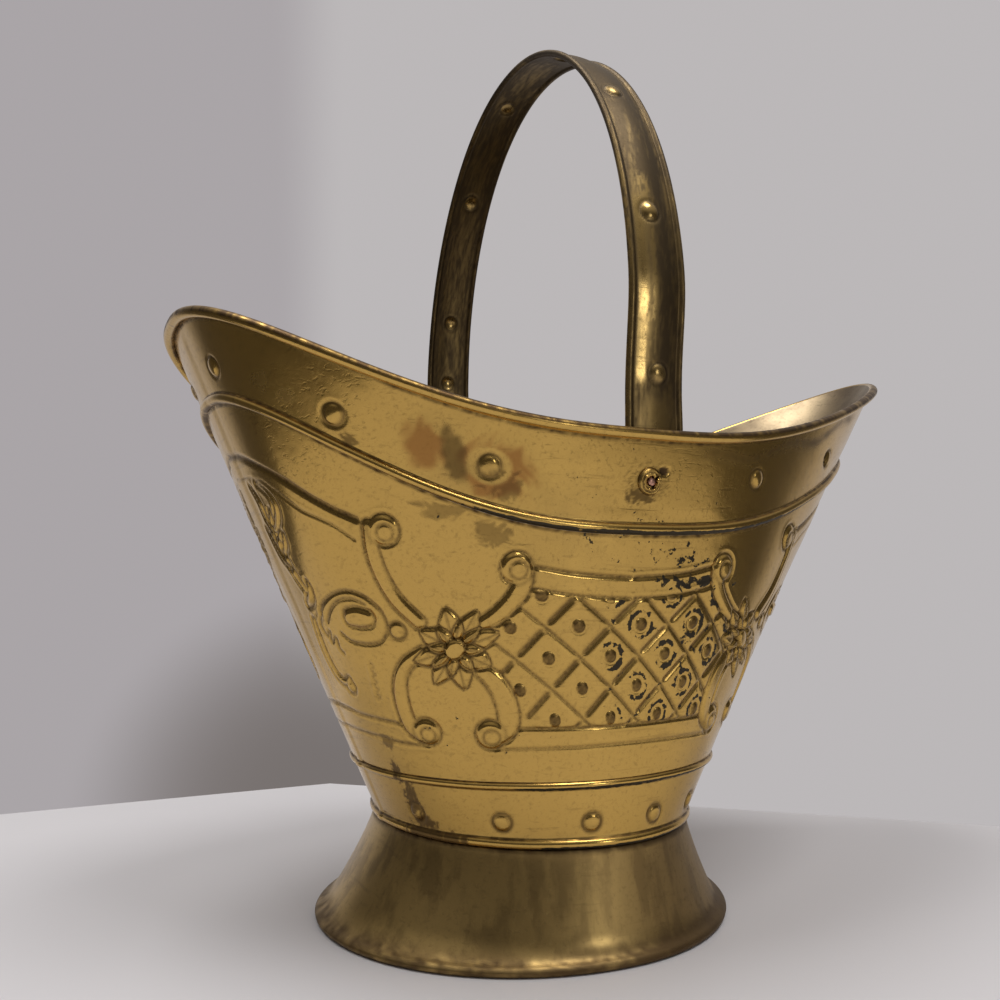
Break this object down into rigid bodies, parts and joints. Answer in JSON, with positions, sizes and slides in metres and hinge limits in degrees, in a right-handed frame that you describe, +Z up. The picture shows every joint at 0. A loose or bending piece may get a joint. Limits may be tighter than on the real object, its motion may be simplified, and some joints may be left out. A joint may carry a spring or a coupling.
{
  "type": "coal scuttle",
  "caption": "Helmet-shaped sheet-metal coal scuttle: boat-shaped body with raised pouring lip, flared oval foot and swinging strap bail.",
  "frame": {"origin": "on the surface the scuttle stands on, under the middle of its overall length and width", "axes": "+X towards the pouring lip, +Y towards the far half shell, +Z up"},
  "size_m": [0.4156, 0.2376, 0.4327],
  "materials": {
    "bright_brass": "old polished brass sheet, golden, with brown tarnish left in the hollows of the embossing",
    "dull_brass": "unpolished brass sheet gone olive brown, satin, with spots and faint scratches",
    "tarnished_brass": "dark brown tarnished brass with yellow worn edges and rubbed patches",
    "copper": "hammered soft copper, pinkish brown",
    "iron_wire": "plain drawn iron wire, hidden in the rolled edges"
  },
  "bodies": {
    "scuttle_body": {"near_half_shell": "bright_brass", "far_half_shell": "bright_brass", "rim_wire": "iron_wire", "base_plate": "dull_brass", "foot_skirt": "dull_brass", "foot_wire": "iron_wire", "near_rivet": "copper", "far_rivet": "copper", "near_spacer_washer": "bright_brass", "far_spacer_washer": "bright_brass", "near_burr_washer": "copper", "far_burr_washer": "copper"},
    "bail": {"bail_strap": "tarnished_brass"}
  },
  "joints": [
    {"name": "bail_hinge", "type": "hinge", "parent": "scuttle_body", "child": "bail", "pos_m": [-0.02831, 0, 0.2], "axis": [0, 1, 0], "range_deg": [-45, 25]}
  ]
}
